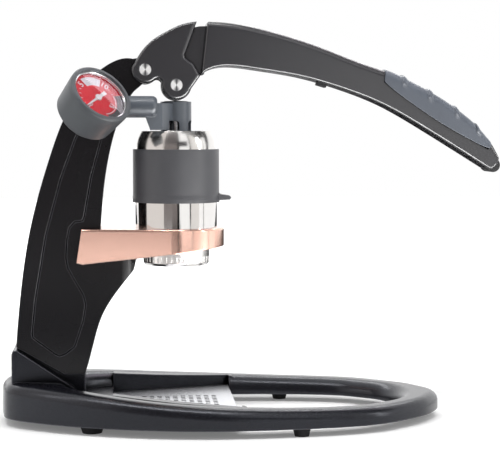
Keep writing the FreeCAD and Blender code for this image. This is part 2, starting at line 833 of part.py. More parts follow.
def gauge_blank(radius, depth):
    return placed(Part.makeCylinder(radius, depth, Vector(0, 0, -depth)))


def make_gauge():
    outer = gauge_radius
    inner = outer - gauge_lip
    back = outer - 1.6
    depth = gauge_depth
    cup = turned([
        (0.0, -depth), (back - 2.0, -depth), (back, -depth + 2.0), (outer, -4.0),
        (outer, -1.0), (outer - 1.0, 0.0), (inner, 0.0), (inner, -depth + gauge_floor),
        (0.0, -depth + gauge_floor),
    ], 0.0)
    save("gauge_cup", placed(cup))
    fitted = inner - 0.05
    dial_back = -dial_depth - dial_thickness
    case_floor = -depth + gauge_floor + 2.0
    case = turned([
        (0.0, -depth + gauge_floor), (fitted, -depth + gauge_floor), (fitted, dial_back),
        (inner - 2.0, dial_back), (inner - 2.0, case_floor), (0.0, case_floor),
    ], 0.0)
    save("gauge_case", placed(case))
    movement = turned([
        (0.0, case_floor), (7.0, case_floor), (7.0, dial_back), (1.2, dial_back),
        (1.2, dial_back - 3.4), (0.0, dial_back - 3.4),
    ], 0.0)
    save("gauge_movement", placed(movement))
    dial = turned([
        (0.9, dial_back), (fitted, dial_back), (fitted, -dial_depth), (0.9, -dial_depth),
    ], 0.0)
    save("gauge_dial", placed(dial))
    ring = turned([
        (inner - 0.9, -dial_depth), (fitted, -dial_depth), (fitted, bezel_proud - lens_depth),
        (inner - 0.9, bezel_proud - lens_depth - 0.2), (inner - 0.9, -lens_depth),
        (inner - 0.45, -lens_depth),
        (inner - 0.45, -lens_depth - lens_thickness), (inner - 0.9, -lens_depth - lens_thickness),
    ], 0.0)
    save("gauge_bezel", placed(ring))
    lens = turned([
        (0.0, -lens_depth - lens_thickness), (inner - 0.45, -lens_depth - lens_thickness),
        (inner - 0.45, -lens_depth), (0.0, -lens_depth),
    ], 0.0)
    save("gauge_lens", placed(lens))
    make_needle()


def make_needle():
    """Pointer, its counterweight and the arbor that carries them, at zero pressure."""
    level = -dial_depth + 0.3
    thickness = 0.3
    pointer = [
        (0.0, 0.9), (needle_length, 0.25), (needle_length, -0.25), (0.0, -0.9),
        (-7.6, -1.3), (-7.6, 1.3),
    ]
    place = [Vector(a, b, level) for a, b in pointer]
    place.append(place[0])
    blade = Part.Face(Part.makePolygon(place)).extrude(Vector(0, 0, thickness))
    hub = Part.makeCylinder(2.1, 0.7, Vector(0, 0, level - 0.1))
    arbor = Part.makeCylinder(0.8, 4.0, Vector(0, 0, level - 3.7))
    needle = joined([blade, hub, arbor])
    needle.rotate(Vector(0, 0, 0), Vector(0, 0, 1), needle_zero_angle)
    save("gauge_needle", placed(needle))


# Lever

knuckle_upper_edge = [
    (-6.6, 4.0), (-3.1, 9.9), (3.0, 16.9), (12.1, 22.8), (21.2, 27.2), (31.5, 29.3),
]
knuckle_right_edge = [(24.0, 9.0), (24.4, 7.2), (27.0, 5.3), (28.9, 4.3), (30.2, 2.2), (33.5, -3.6)]


def from_pivot(points):
    return [(pivot_x + dx, pivot_z + dz) for dx, dz in points]


def cheek_outline():
    """Outline of one cheek, from the crown round to the roller lobe and the pivot boss."""
    lobe_x = brew_axis_x
    lobe_z = roller_z
    lobe = roller_radius - 0.4
    boss = pivot_ear_radius + 0.2
    crown = from_pivot(knuckle_upper_edge)
    right = from_pivot(knuckle_right_edge)
    points = crown + right
    edges = []
    place = [Vector(x, 0, z) for x, z in points]
    curve = Part.BSplineCurve()
    curve.interpolate(place[:len(crown)])
    edges.append(curve.toShape())
    for index in range(len(crown) - 1, len(points) - 1):
        edges.append(Part.makeLine(place[index], place[index + 1]))
    flank = Vector(lobe_x + lobe * math.cos(math.radians(-20)), 0,
                   lobe_z + lobe * math.sin(math.radians(-20)))
    edges.append(Part.makeLine(place[-1], flank))
    lobe_low = Vector(lobe_x, 0, lobe_z - lobe)
    lobe_left = Vector(lobe_x + lobe * math.cos(math.radians(175)), 0,
                       lobe_z + lobe * math.sin(math.radians(175)))
    edges.append(Part.Arc(flank, lobe_low, lobe_left).toShape())
    boss_right = Vector(pivot_x + boss * math.cos(math.radians(-50)), 0,
                        pivot_z + boss * math.sin(math.radians(-50)))
    notch = Vector(0.5 * (lobe_left.x + boss_right.x) + 0.9, 0, lobe_left.z + 2.6)
    edges.append(Part.Arc(lobe_left, notch, boss_right).toShape())
    boss_low = Vector(pivot_x + boss * math.cos(math.radians(-110)), 0,
                      pivot_z + boss * math.sin(math.radians(-110)))
    edges.append(Part.Arc(boss_right, boss_low,
                          Vector(pivot_x + boss * math.cos(math.radians(170)), 0,
                                 pivot_z + boss * math.sin(math.radians(170)))).toShape())
    end = Vector(pivot_x + boss * math.cos(math.radians(170)), 0,
                 pivot_z + boss * math.sin(math.radians(170)))
    edges.append(Part.makeLine(end, place[0]))
    return Part.Face(Part.Wire(edges))


def across(radius, x, z, near, far):
    """Two cylinders along Y, mirrored, each between two distances from the middle plane."""
    return crosswise(radius, x, z, near, far).fuse(crosswise(radius, x, z, -far, -near))


def make_knuckle():
    """The two cheeks and the web between them, drilled for both pins and the dowels."""
    face = cheek_outline()
    width = cheek_outer_half - cheek_inner_half
    cheeks = []
    for side in (-1, 1):
        cheek = face.copy()
        cheek.translate(Vector(0, side * cheek_inner_half, 0))
        cheeks.append(cheek.extrude(Vector(0, side * width, 0)))
    body = joined(cheeks + [bridge_block()])
    body = rounded(body, cheek_edge_round, on_outer_face)
    beyond = cheek_outer_half + 1.0
    for x, z, radius in ((pivot_x, pivot_z, pivot_pin_radius),
                         (brew_axis_x, roller_z, roller_pin_radius)):
        body = body.cut(crosswise(radius, x, z, -beyond, beyond))
        body = body.cut(across(pin_head_radius, x, z, cheek_outer_half - pin_head_depth, beyond))
    for x, z in handle_dowel_places():
        body = body.cut(across(handle_dowel_radius, x, z, cheek_inner_half - 1.0,
                               handle_dowel_reach))
    save("lever_knuckle", body.removeSplitter())


def on_outer_face(edge):
    box = edge.BoundBox
    return box.YLength < 0.01 and abs(abs(box.YMin) - cheek_outer_half) < 0.01


def bridge_block():
    """Solid web that joins the cheeks above the roller, behind the pivot tongue."""
    inner = cheek_inner_half
    corners = from_pivot([(7.2, 10.4), (12.4, 20.5), (20.0, 24.4), (20.0, 4.0), (11.5, 3.0)])
    block = plate(corners, -inner, inner)
    return block.cut(crosswise(roller_radius + 0.8, brew_axis_x, roller_z, -40, 40))


handle_top = [
    (37.9, 29.5), (47.1, 29.2), (58.1, 27.8), (82.8, 22.1), (107.6, 14.3), (132.6, 4.8),
    (157.6, -3.9), (182.9, -16.9), (202.0, -30.6), (214.0, -43.0),
]
handle_tip = [(218.3, -51.1), (219.9, -54.4), (218.6, -58.0), (215.4, -61.0)]
handle_bottom = [
    (213.2, -60.4), (196.4, -50.0), (171.0, -34.5), (145.5, -20.5), (120.3, -10.9), (95.2, -3.9),
    (70.2, 0.2), (57.8, 1.9), (49.2, 2.3), (43.1, 1.5), (38.2, -0.2), (34.2, -3.2),
]


def along_handle(points):
    """Outline points, measured from the pivot, stretched with the handle's reach."""
    drawn_reach = 187.2
    stretch = handle_reach / drawn_reach
    result = []
    for dx, dz in points:
        result.append((pivot_x + handle_start + (dx - handle_start) * stretch,
                       pivot_z + dz * stretch))
    return result


def handle_profile():
    top = along_handle(handle_top)
    tip = along_handle(handle_tip)
    bottom = along_handle(handle_bottom)
    points = top + tip + bottom
    top_end = len(top) - 1
    bottom_start = len(top) + len(tip)
    bottom_end = len(points) - 1
    return points, [(0, top_end), (bottom_start, bottom_end)]


grip_top = [
    (147.7, 0.0), (157.6, -3.6), (182.9, -16.6), (202.0, -30.3), (213.0, -41.8), (215.2, -45.6),
]
grip_bottom = [
    (212.6, -48.8), (204.1, -43.9), (182.0, -31.2), (156.8, -14.6), (146.9, -7.2),
]


def grip_block():
    """The rubber's outer shape, before the core is taken out of it."""
    points = along_handle(grip_top) + along_handle(grip_bottom)
    top_end = len(grip_top) - 1
    return plate(points, -grip_half_width, grip_half_width,
                 [(0, top_end), (top_end + 1, len(points) - 1)])


def grip_pocket():
    """What is cut from the handle for the grip: all above the grip's lower edge."""
    above = along_handle([(148.86, 10.5), (215.0, 10.5), (223.0, -36.0)])
    points = above + along_handle(grip_bottom)
    return plate(points, -grip_half_width, grip_half_width, [(3, len(points) - 1)])


def grip_core():
    """The handle's slimmer body under the rubber."""
    core_top = [(dx - 0.62 * grip_skin, dz - 0.8 * grip_skin) for dx, dz in grip_top]
    core_top[0] = (grip_top[0][0] - 2.0, grip_top[0][1] - grip_skin)
    core_bottom = [(dx - 1.5, dz - 3.0) for dx, dz in grip_bottom]
    points = along_handle(core_top) + along_handle(core_bottom)
    top_end = len(core_top) - 1
    return plate(points, -grip_core_half_width, grip_core_half_width,
                 [(0, top_end), (top_end + 1, len(points) - 1)])


def make_handle():
    points, smooth = handle_profile()
    body = plate(points, -handle_half_width, handle_half_width, smooth)
    body = rounded(body, handle_edge_round, long_top_edge)
    body = rounded(body, handle_low_edge_round, low_side_edge)
    body = joined([body.cut(grip_pocket()), grip_core()])
    tongue = plate(from_pivot([
        (20.6, 3.6), (20.6, 24.2), (33.5, 26.6), (38.5, 26.8), (36.5, 6.0), (36.0, -2.6),
        (33.8, -3.0), (30.6, -1.0), (28.5, 2.0), (24.0, 3.6),
    ]), -tongue_half_width, tongue_half_width)
    body = joined([body, tongue])
    plug = end_plug_shape()
    body = body.cut(plug)
    body = body.cut(stop_pad_shape())
    for x, z in handle_dowel_places():
        body = body.cut(crosswise(handle_dowel_radius, x, z, -handle_half_width, handle_half_width))
    save("lever_handle", max(body.Solids, key=lambda solid: solid.Volume))
    save("handle_grip", grip_block().cut(grip_core()))
    save("handle_end_plug", plug)
    save("handle_stop_pad", stop_pad_shape())


def long_top_edge(edge):
    """True for the two long edges along the handle's top."""
    box = edge.BoundBox
    return box.YLength < 0.01 and box.XLength > 100.0 and box.ZMax > pivot_z + 20.0


def low_side_edge(edge):
    """True for the edges round both sides of the handle, but for the long top ones."""
    box = edge.BoundBox
    on_side = box.YLength < 0.01 and abs(box.YMin) > handle_half_width - 0.01
    return on_side and (box.ZMax < pivot_z + 3.0 or box.XLength < 10.0)


def handle_dowel_places():
    return from_pivot([(22.9, 19.0), (22.9, 12.4)])


def end_plug_shape():
    """Rubber bumper let into the tip of the handle."""
    center = along_handle([(216.9, -58.5)])[0]
    return crosswise(end_plug_radius, center[0], center[1], -end_plug_half_width,
                     end_plug_half_width)


def stop_pad_shape():
    """Small rubber pad let into the underside of the handle."""
    center = along_handle([(109.4, -8.1)])[0]
    pad = Part.makeBox(stop_pad_length, stop_pad_width, stop_pad_thickness,
                       Vector(-0.5 * stop_pad_length, -0.5 * stop_pad_width, -stop_pad_proud))
    pad.rotate(Vector(0, 0, 0), Vector(0, 1, 0), stop_pad_slope)
    pad.translate(Vector(center[0], 0, center[1]))
    return pad


def make_lever_hardware():
    inside = cheek_outer_half - pin_head_depth
    outside = cheek_outer_half - 0.1
    for name, x, z, radius in (("pivot_pin", pivot_x, pivot_z, pivot_pin_radius),
                               ("roller_pin", brew_axis_x, roller_z, roller_pin_radius)):
        pin = crosswise(radius, x, z, -inside, inside)
        pin = pin.fuse(across(pin_head_radius, x, z, inside, outside))
        save(name, pin.removeSplitter())
    bush = crosswise(bush_radius(), pivot_x, pivot_z, -neck_half_width, neck_half_width)
    bore = crosswise(pivot_pin_radius + running_clearance, pivot_x, pivot_z, -neck_half_width,
                     neck_half_width)
    save("pivot_bush", bush.cut(bore))
    half = cheek_inner_half - side_clearance
    roller = crosswise(roller_radius, brew_axis_x, roller_z, -half, half)
    bore = crosswise(roller_pin_radius + running_clearance, brew_axis_x, roller_z, -half, half)
    save("roller", roller.cut(bore))
    dowels = []
    for x, z in handle_dowel_places():
        dowels.append(crosswise(handle_dowel_radius, x, z, -handle_dowel_reach, handle_dowel_reach))
    save("handle_dowels", Part.makeCompound(dowels))


# Drip tray

def make_tray():
    outline = tray_outline(0.0)
    pan = plan_prism(outline, pan_bottom_z, plate_bottom_z)
    hollow = plan_prism(tray_outline(-pan_wall), pan_bottom_z + pan_wall, plate_bottom_z + 1.0)
    save("drip_pan", pan.cut(hollow))
    sheet = plan_prism(outline, plate_bottom_z, plate_top_z)
    slots = []
    first_x = slot_first_x
    for column in range(slot_columns):
        for row in range(slot_rows):
            x = first_x + column * slot_pitch_x
            y = (row - 0.5 * (slot_rows - 1)) * slot_pitch_y
            slots.append(Part.makeBox(slot_length, slot_width, 6.0,
                                      Vector(x - 0.5 * slot_length, y - 0.5 * slot_width,
                                             plate_bottom_z - 2.0)))
    save("drip_plate", sheet.cut(Part.makeCompound(slots)))


os.makedirs("parts", exist_ok=True)
make_base()
make_feet()
make_post()
make_post_screws()
make_bracket()
make_bracket_dowel()
make_cylinder()
make_sleeve()
make_portafilter()
make_plunger()
make_gauge()
make_knuckle()
make_handle()
make_lever_hardware()
make_tray()
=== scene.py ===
import math

import bmesh
import bpy
from mathutils import Matrix, Vector


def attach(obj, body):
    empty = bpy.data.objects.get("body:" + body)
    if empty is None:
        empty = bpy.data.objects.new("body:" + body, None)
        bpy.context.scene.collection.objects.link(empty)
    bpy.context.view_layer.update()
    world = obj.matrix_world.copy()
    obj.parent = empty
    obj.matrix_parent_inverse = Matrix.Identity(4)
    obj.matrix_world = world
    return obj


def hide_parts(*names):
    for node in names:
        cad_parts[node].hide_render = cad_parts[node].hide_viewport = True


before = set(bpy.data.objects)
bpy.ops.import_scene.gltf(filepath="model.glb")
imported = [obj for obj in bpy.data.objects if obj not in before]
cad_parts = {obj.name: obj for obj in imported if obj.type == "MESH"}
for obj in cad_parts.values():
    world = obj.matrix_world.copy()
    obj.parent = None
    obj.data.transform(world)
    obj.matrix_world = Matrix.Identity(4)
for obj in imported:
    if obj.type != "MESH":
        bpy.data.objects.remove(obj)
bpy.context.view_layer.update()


# Base casting. One egg-shaped ring of cast aluminium with a wedge for the post and a sunk bay
# for the drip tray, coated with a satin black powder paint that lies smooth on the crest.

def screen(red, green, blue):
    """Shader colour for a finish that is given as it looks on a screen, 0 to 255."""
    channels = []
    for value in (red, green, blue):
        share = value / 255.0
        channels.append(share / 12.92 if share <= 0.04045 else ((share + 0.055) / 1.055) ** 2.4)
    return (*channels, 1.0)


def coat(name, low, high, patch, grain, rough, relief, metal=0.0, gloss=0.5, worn_and_edge_highlight=None,
         edge=0.0005, stretch=(1.0, 1.0, 1.0), painted_shade_reach=None):
    """A finish that wanders between two colours in patches, with a fine grain in gloss and
    relief, a worn tone on edges that also stands in as a painted highlight along them, and painted
    shade that darkens the colour and dims the gloss in creases and recesses. Patch, grain, relief,
    edge and the reach of the painted shade are lengths in metres."""
    material = bpy.data.materials.new(name)
    material.use_nodes = True
    nodes = material.node_tree.nodes
    link = material.node_tree.links.new
    shader = nodes["Principled BSDF"]
    shader.inputs["Metallic"].default_value = metal
    shader.inputs["Specular IOR Level"].default_value = gloss
    place = nodes.new("ShaderNodeTexCoord")
    spread = nodes.new("ShaderNodeMapping")
    spread.inputs["Scale"].default_value = stretch
    link(place.outputs["Object"], spread.inputs["Vector"])
    clouds = nodes.new("ShaderNodeTexNoise")
    clouds.inputs["Scale"].default_value = 1.0 / patch
    clouds.inputs["Detail"].default_value = 4.0
    link(spread.outputs["Vector"], clouds.inputs["Vector"])
    grit = nodes.new("ShaderNodeTexNoise")
    grit.inputs["Scale"].default_value = 1.0 / grain
    grit.inputs["Detail"].default_value = 3.0
    link(spread.outputs["Vector"], grit.inputs["Vector"])
    tone = nodes.new("ShaderNodeMix")
    tone.data_type = "RGBA"
    tone.inputs["A"].default_value = screen(*low)
    tone.inputs["B"].default_value = screen(*high)
    link(clouds.outputs["Fac"], tone.inputs["Factor"])
    colour = tone.outputs["Result"]
    soft_edge = nodes.new("ShaderNodeBevel")
    soft_edge.samples = 6
    soft_edge.inputs["Radius"].default_value = edge
    # Edge tone, partly wear and partly a painted highlight: a lighter colour laid in patches along
    # the rounded edges.
    if worn_and_edge_highlight:
        true_face = nodes.new("ShaderNodeNewGeometry")
        lean = nodes.new("ShaderNodeVectorMath")
        lean.operation = "DOT_PRODUCT"
        link(soft_edge.outputs["Normal"], lean.inputs[0])
        link(true_face.outputs["Normal"], lean.inputs[1])
        edge_mask = nodes.new("ShaderNodeMapRange")
        edge_mask.inputs["From Min"].default_value = 0.995
        edge_mask.inputs["From Max"].default_value = 0.86
        link(lean.outputs["Value"], edge_mask.inputs["Value"])
        patchy_edge_mask = nodes.new("ShaderNodeMath")
        patchy_edge_mask.operation = "MULTIPLY"
        link(edge_mask.outputs["Result"], patchy_edge_mask.inputs[0])
        link(clouds.outputs["Fac"], patchy_edge_mask.inputs[1])
        worn_and_highlit_edge = nodes.new("ShaderNodeMix")
        worn_and_highlit_edge.data_type = "RGBA"
        worn_and_highlit_edge.inputs["B"].default_value = screen(*worn_and_edge_highlight)
        link(patchy_edge_mask.outputs["Value"], worn_and_highlit_edge.inputs["Factor"])
        link(colour, worn_and_highlit_edge.inputs["A"])
        colour = worn_and_highlit_edge.outputs["Result"]
    # Painted shade: an ambient-occlusion mask turns the colour near black and dims the gloss in
    # creases, grooves and recesses.
    if painted_shade_reach:
        shade = nodes.new("ShaderNodeAmbientOcclusion")
        shade.samples = 6
        shade.only_local = painted_shade_reach > 0.005
        shade.inputs["Distance"].default_value = painted_shade_reach
        open_share = nodes.new("ShaderNodeMapRange")
        open_share.inputs["From Min"].default_value = 0.5
        open_share.inputs["From Max"].default_value = 0.85
        link(shade.outputs["AO"], open_share.inputs["Value"])
        painted_shade = nodes.new("ShaderNodeMix")
        painted_shade.data_type = "RGBA"
        painted_shade.inputs["A"].default_value = screen(6, 6, 7)
        link(open_share.outputs["Result"], painted_shade.inputs["Factor"])
        link(colour, painted_shade.inputs["B"])
        colour = painted_shade.outputs["Result"]
        painted_light = nodes.new("ShaderNodeMath")
        painted_light.operation = "MULTIPLY"
        painted_light.inputs[1].default_value = gloss
        link(open_share.outputs["Result"], painted_light.inputs[0])
        link(painted_light.outputs["Value"], shader.inputs["Specular IOR Level"])
    link(colour, shader.inputs["Base Color"])
    sheen = nodes.new("ShaderNodeMapRange")
    sheen.inputs["From Min"].default_value = 0.3
    sheen.inputs["From Max"].default_value = 0.7
    sheen.inputs["To Min"].default_value = rough[0]
    sheen.inputs["To Max"].default_value = rough[1]
    link(grit.outputs["Fac"], sheen.inputs["Value"])
    link(sheen.outputs["Result"], shader.inputs["Roughness"])
    bump = nodes.new("ShaderNodeBump")
    bump.inputs["Strength"].default_value = 1.0
    bump.inputs["Distance"].default_value = relief
    link(grit.outputs["Fac"], bump.inputs["Height"])
    link(soft_edge.outputs["Normal"], bump.inputs["Normal"])
    link(bump.outputs["Normal"], shader.inputs["Normal"])
    return material


def dress(material, *names):
    """Gives a finish to nodes of the frame."""
    for name in names:
        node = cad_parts[name]
        if not node.material_slots:
            node.data.materials.append(material)
        for place in node.material_slots:
            place.material = material


base_paint = coat("base_paint", (13, 13, 18), (18, 19, 25), 0.03, 0.0004, (0.23, 0.29), 0.0000008,
                  gloss=0.42, worn_and_edge_highlight=(130, 130, 138), edge=0.0013, painted_shade_reach=0.013)
base_paint.node_tree.nodes["Principled BSDF"].inputs["Specular Tint"].default_value = (
    0.88, 0.91, 1.0, 1.0)
dress(base_paint, "base_ring")


# Feet. Four turned rubber studs, each held up into its socket by a small steel screw.

foot_rubber = coat("foot_rubber", (20, 20, 22), (30, 30, 33), 0.006, 0.0004, (0.6, 0.8), 0.00004,
                   gloss=0.3)
plain_steel = coat("plain_steel", (150, 150, 152), (176, 176, 178), 0.004, 0.0003, (0.28, 0.4),
                   0.00001, metal=1.0)
dress(foot_rubber, "base_feet")
dress(plain_steel, "foot_screws", "post_screws", "bracket_dowel", "handle_dowels")


# Post. A cast column with a panel line down each side, in the same powder paint as the base
# but deeper in tone, screwed up through the wedge of the base.

post_paint = coat("post_paint", (19, 18, 21), (24, 23, 26), 0.05, 0.0004, (0.18, 0.25), 0.0000006,
                  gloss=0.3, worn_and_edge_highlight=(130, 130, 138), edge=0.0006, painted_shade_reach=0.0012)
dress(post_paint, "post")


# Brew bracket. An aluminium casting pinned to the post, tumbled and coated copper with a fine
# metallic fleck.

copper_coat = coat("copper_coat", (220, 174, 156), (240, 198, 182), 0.0006, 0.0003, (0.1, 0.2),
                   0.000004, metal=0.85, gloss=0.5, worn_and_edge_highlight=(252, 218, 206), edge=0.0009)
dress(copper_coat, "brew_bracket")


# Brew cylinder. Stainless steel turned from bar and polished, so that it mirrors the studio in
# upright bars, with the faint marks of the lathe running round it.

mirror_steel = coat("mirror_steel", (203, 201, 199), (210, 208, 206), 0.03, 0.0002, (0.05, 0.1),
                    0.0000003, metal=1.0, gloss=0.5, stretch=(0.15, 0.15, 6.0), edge=0.0004)
dress(mirror_steel, "brew_cylinder")
steel_parts = mirror_steel.node_tree.nodes
steel_join = mirror_steel.node_tree.links.new
height = steel_parts.new("ShaderNodeSeparateXYZ")
steel_join(steel_parts["Texture Coordinate"].outputs["Object"], height.inputs["Vector"])
hazy = steel_parts.new("ShaderNodeMapRange")
hazy.inputs["From Min"].default_value = 0.165
hazy.inputs["From Max"].default_value = 0.171
hazy.inputs["To Max"].default_value = 0.11
steel_join(height.outputs["Z"], hazy.inputs["Value"])
shoulder_haze = steel_parts.new("ShaderNodeMath")
steel_join(steel_parts["Principled BSDF"].inputs["Roughness"].links[0].from_socket,
           shoulder_haze.inputs[0])
steel_join(hazy.outputs["Result"], shoulder_haze.inputs[1])
steel_join(shoulder_haze.outputs["Value"], steel_parts["Principled BSDF"].inputs["Roughness"])
ring_steel = coat("ring_steel", (203, 201, 199), (212, 210, 208), 0.03, 0.0002, (0.16, 0.26),
                  0.0000006, metal=1.0, stretch=(0.15, 0.15, 6.0), edge=0.0004)
dress(ring_steel, "portafilter")


# Sleeve. A moulded silicone band that keeps fingers off the hot steel, with a tab to pull.

silicone = coat("silicone", (72, 72, 76), (80, 80, 84), 0.012, 0.0004, (0.36, 0.46), 0.000003,
                gloss=0.4, edge=0.0006)
dress(silicone, "cylinder_sleeve")


# Portafilter inside parts. Pressed steel basket and screen, a black support and rubber seals.

pressed_steel = coat("pressed_steel", (168, 168, 170), (196, 196, 198), 0.01, 0.0003, (0.2, 0.32),
                     0.000008, metal=1.0)
black_support = coat("black_support", (26, 26, 28), (36, 36, 38), 0.01, 0.0004, (0.4, 0.55),
                     0.00002)
seal_rubber = coat("seal_rubber", (34, 34, 37), (46, 46, 50), 0.008, 0.0004, (0.5, 0.65), 0.00003)
dress(pressed_steel, "filter_basket", "dispersion_screen", "spout_disc", "plunger_rod", "piston")
dress(black_support, "basket_support", "plunger_cap")
dress(seal_rubber, "base_seal", "piston_seal")


# Plunger stem. A glass-filled moulding in slate grey, with four windows and a side arm that
# carries the gauge.

slate_moulding = coat("slate_moulding", (78, 84, 92), (92, 98, 106), 0.012, 0.0004,
                      (0.3, 0.38), 0.000003, gloss=0.5, edge=0.0006)
dress(slate_moulding, "stem_housing")


# Gauge. A small dial gauge pressed into a soft slate cup: steel case, brass movement, red
# printed dial, white pointer, bright ring and a slightly domed glass.

cup_rubber = coat("cup_rubber", (70, 73, 77), (78, 82, 86), 0.01, 0.0004, (0.4, 0.5), 0.000004,
                  gloss=0.35, edge=0.0007)
dial_red = coat("dial_red", (190, 6, 26), (208, 14, 36), 0.01, 0.0003, (0.35, 0.5), 0.000004,
                gloss=0.15)
pointer_white = coat("pointer_white", (214, 211, 211), (228, 225, 225), 0.004, 0.0003, (0.3, 0.45),
                     0.000004)
bright_ring = coat("bright_ring", (228, 228, 230), (240, 240, 242), 0.004, 0.0003, (0.12, 0.2),
                   0.000002, metal=1.0)
brass = coat("brass", (196, 160, 92), (212, 178, 110), 0.004, 0.0003, (0.25, 0.4), 0.00001,
             metal=1.0)
dress(cup_rubber, "gauge_cup")
dress(plain_steel, "gauge_case")
dress(brass, "gauge_movement", "pivot_bush")
dress(dial_red, "gauge_dial")
dress(pointer_white, "gauge_needle")
dress(bright_ring, "gauge_bezel")

dial_glass = bpy.data.materials.new("dial_glass")
dial_glass.use_nodes = True
glass_nodes = dial_glass.node_tree.nodes
glass_link = dial_glass.node_tree.links.new
glass_shader = glass_nodes["Principled BSDF"]
glass_shader.inputs["Base Color"].default_value = (0.97, 0.97, 1.0, 1.0)
glass_shader.inputs["Transmission Weight"].default_value = 1.0
glass_shader.inputs["IOR"].default_value = 1.4
smear = glass_nodes.new("ShaderNodeTexNoise")
smear.inputs["Scale"].default_value = 240.0
smear_range = glass_nodes.new("ShaderNodeMapRange")
smear_range.inputs["To Max"].default_value = 0.06
glass_link(smear.outputs["Fac"], smear_range.inputs["Value"])
glass_link(smear_range.outputs["Result"], glass_shader.inputs["Roughness"])
dial_centre = Vector((-0.0929, -0.046, 0.2013))
from_centre = glass_nodes.new("ShaderNodeVectorMath")
from_centre.operation = "DISTANCE"
from_centre.inputs[1].default_value = dial_centre
glass_place = glass_nodes.new("ShaderNodeTexCoord")
glass_link(glass_place.outputs["Object"], from_centre.inputs[0])
dome = glass_nodes.new("ShaderNodeMath")
dome.operation = "POWER"
dome.inputs[1].default_value = 2.0
glass_link(from_centre.outputs["Value"], dome.inputs[0])
dome_rise = glass_nodes.new("ShaderNodeBump")
dome_rise.invert = True
dome_rise.inputs["Distance"].default_value = 2.5
glass_link(dome.outputs["Value"], dome_rise.inputs["Height"])
glass_link(dome_rise.outputs["Normal"], glass_shader.inputs["Normal"])
dress(dial_glass, "gauge_lens")

dial_faces = Vector((0.50, -0.63, 0.595)).normalized()
dial_right = Vector((0, 0, 1)).cross(dial_faces).normalized()
dial_up = dial_faces.cross(dial_right)
dial_level = -0.005
zero_angle = 214.0
bar_angle = 16.8
print_thickness = 0.00003


def dial_point(across, up, above):
    """A point on the dial, given from its centre as one looks at it, and above its face."""
    return dial_centre + dial_right * across + dial_up * up + dial_faces * (dial_level + above)


def finished_piece(name, mesh):
    """The worked mesh as a piece of its own in the scene."""
    data = bpy.data.meshes.new(name)
    mesh.to_mesh(data)
    mesh.free()
    piece = bpy.data.objects.new(name, data)
    bpy.context.scene.collection.objects.link(piece)
    return piece


def printed_arc(name, inner, outer, start, end):
    """A band of ink on the dial between two radii and two angles in degrees."""
    mesh = bmesh.new()
    steps = max(2, int(abs(end - start) / 3.0))
    rows = []
    for index in range(steps + 1):
        angle = math.radians(start + (end - start) * index / steps)
        row = []
        for radius, height in ((inner, 0.0), (outer, 0.0), (outer, print_thickness),
                               (inner, print_thickness)):
            place = dial_point(radius * math.cos(angle), radius * math.sin(angle), height)
            row.append(mesh.verts.new(place))
        rows.append(row)
    for row, following in zip(rows, rows[1:]):
        for corner in range(4):
            after = (corner + 1) % 4
            mesh.faces.new((row[corner], row[after], following[after], following[corner]))
    mesh.faces.new(reversed(rows[0]))
    mesh.faces.new(rows[-1])
    bmesh.ops.recalc_face_normals(mesh, faces=mesh.faces)
    return finished_piece(name, mesh)


def on_gauge(piece, ink):
    """Inks a print and lets it ride with the gauge on the plunger."""
    piece.data.materials.append(ink)
    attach(piece, "plunger")


white_ink = coat("white_ink", (208, 203, 206), (222, 218, 220), 0.003, 0.0002, (0.4, 0.5), 0.000002)
black_ink = coat("black_ink", (22, 20, 22), (32, 30, 32), 0.003, 0.0002, (0.35, 0.5), 0.000002)

on_gauge(printed_arc("dial_press_band", 0.0092, 0.0152, 117.0, 60.0), white_ink)
on_gauge(printed_arc("dial_stop_band", 0.0126, 0.0166, 6.0, -84.0), black_ink)
on_gauge(printed_arc("dial_scale_line", 0.0116, 0.0121, 8.0, -88.0), white_ink)
for number in range(16):
    angle = zero_angle - number * bar_angle
    if 48.0 < angle < 134.0 or number == 10:
        continue
    half = 0.9 if number % 5 else 1.6
    start = 0.0112 if number % 5 else 0.0102
    tick = printed_arc("dial_tick_%02d" % number, start, 0.0126, angle - half, angle + half)
    on_gauge(tick, white_ink)


def dial_number(text, radius, height):
    """A plain printed number of the scale, standing along its radius."""
    angle = math.radians(zero_angle - int(text) * bar_angle)
    letters = bpy.data.curves.new("number_" + text, "FONT")
    letters.body = text
    letters.size = height
    letters.align_x = "CENTER"
    letters.align_y = "CENTER"
    letters.extrude = 0.5 * print_thickness
    letters.resolution_u = 3
    letters.offset = 0.02 * height
    blank = bpy.data.objects.new("number_blank", letters)
    bpy.context.scene.collection.objects.link(blank)
    bpy.context.view_layer.update()
    data = bpy.data.meshes.new_from_object(blank.evaluated_get(
        bpy.context.evaluated_depsgraph_get()))
    bpy.data.objects.remove(blank)
    turn = Matrix((dial_right, dial_up, dial_faces)).transposed().to_4x4()
    turn.translation = dial_point(radius * math.cos(angle), radius * math.sin(angle),
                                  print_thickness)
    tilt = Matrix.Rotation(angle - math.pi / 2, 4, "Z")
    data.transform(turn @ tilt)
    data.materials.clear()
    piece = bpy.data.objects.new("dial_number_" + text, data)
    bpy.context.scene.collection.objects.link(piece)
    on_gauge(piece, white_ink)


dial_number("0", 0.0086, 0.0036)
dial_number("5", 0.0126, 0.0056)
dial_number("10", 0.0124, 0.0056)
dial_number("15", 0.0092, 0.004)


# Lever. Two aluminium castings, the knuckle and the long handle, doweled together and painted
# satin black; polished steel pins hold the knuckle to the post and carry the roller.

lever_paint = coat("lever_paint", (43, 43, 46), (50, 49, 53), 0.05, 0.0004, (0.2, 0.27), 0.0000006,
                   gloss=0.75, worn_and_edge_highlight=(90, 90, 96), edge=0.0006, painted_shade_reach=0.0014)


